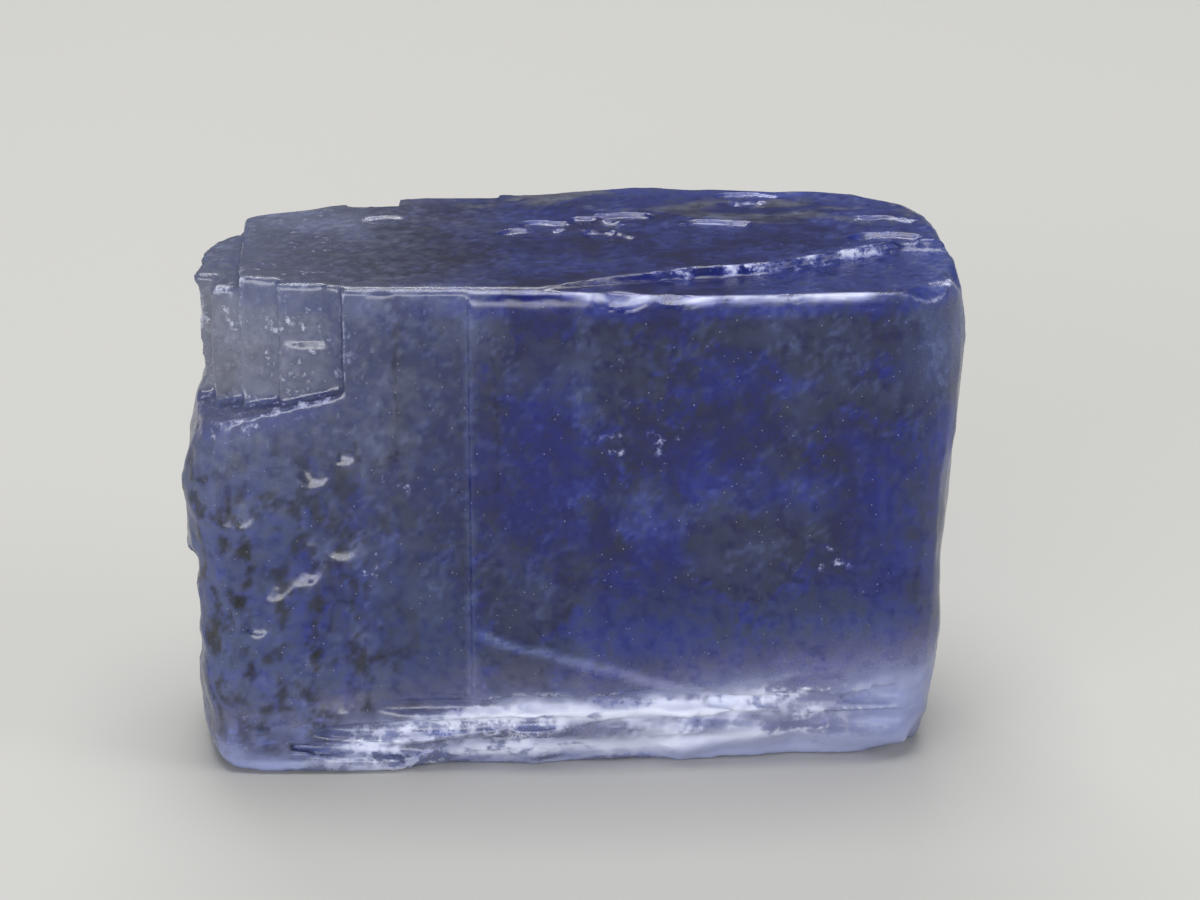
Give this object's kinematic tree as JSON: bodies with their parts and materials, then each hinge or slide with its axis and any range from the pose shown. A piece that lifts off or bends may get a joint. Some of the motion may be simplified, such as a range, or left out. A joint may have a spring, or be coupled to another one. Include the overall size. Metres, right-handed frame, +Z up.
{
  "type": "blue halite crystal",
  "caption": "Cleavage block of blue rock salt with a flat underside, a stepped clear corner, worn rounded ends and a fluted lower front edge.",
  "frame": {"origin": "on the surface that the crystal stands on, below the centre of its bounding box", "axes": "+X along the longest side, +Y through the thickness away from the broad front face, +Z up out of the top face"},
  "size_m": [0.0306, 0.0146, 0.02],
  "materials": {
    "halite": "translucent blue rock salt, satin cleavage faces with a faint haze, colourless at one corner and along the lower front edge"
  },
  "bodies": {
    "root": {"halite_crystal": "halite"}
  },
  "joints": []
}
